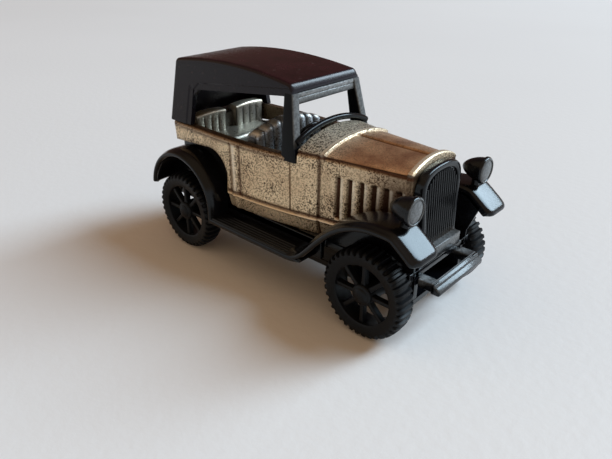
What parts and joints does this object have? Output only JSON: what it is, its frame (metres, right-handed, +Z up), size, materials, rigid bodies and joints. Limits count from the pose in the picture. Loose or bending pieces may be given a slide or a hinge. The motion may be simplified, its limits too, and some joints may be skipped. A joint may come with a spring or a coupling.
{
  "type": "toy car",
  "caption": "Small vintage touring car toy: plated metal body, black wings, roof and grille, free-rolling spoked wheels on steel axles.",
  "frame": {"origin": "on the ground, under the middle of the car's overall length and width", "axes": "+X forward, +Y to the car's left, +Z up"},
  "size_m": [0.0468, 0.0214, 0.0279],
  "materials": {
    "body_metal": "antique brass plating, satin, dark brown speckle and dark grooves",
    "seat_metal": "darker antique plating, satin, bright worn channel tops",
    "chassis_black": "glossy black moulding",
    "roof_black": "satin black with a deep maroon cast on the top",
    "wheel_black": "satin black moulding",
    "axle_steel": "plain drawn steel"
  },
  "bodies": {
    "car": {"body_shell": "body_metal", "fender_unit": "chassis_black", "base_plate": "chassis_black", "base_screw_front": "axle_steel", "base_screw_rear": "axle_steel", "front_seat": "seat_metal", "rear_seat": "seat_metal", "steering_wheel": "chassis_black", "windscreen_frame": "chassis_black", "roof": "roof_black", "radiator_grille": "chassis_black", "front_bumper": "chassis_black", "headlamp_left": "chassis_black", "headlamp_right": "chassis_black"},
    "front_wheels": {"front_axle": "axle_steel", "wheel_front_left": "wheel_black", "wheel_front_right": "wheel_black"},
    "rear_wheels": {"rear_axle": "axle_steel", "wheel_rear_left": "wheel_black", "wheel_rear_right": "wheel_black"}
  },
  "joints": [
    {"name": "front_axle_spin", "type": "hinge", "parent": "car", "child": "front_wheels", "pos_m": [0.01602, 0, 0.00574], "axis": [0, 1, 0], "continuous": true},
    {"name": "rear_axle_spin", "type": "hinge", "parent": "car", "child": "rear_wheels", "pos_m": [-0.01678, 0, 0.00574], "axis": [0, 1, 0], "continuous": true}
  ]
}
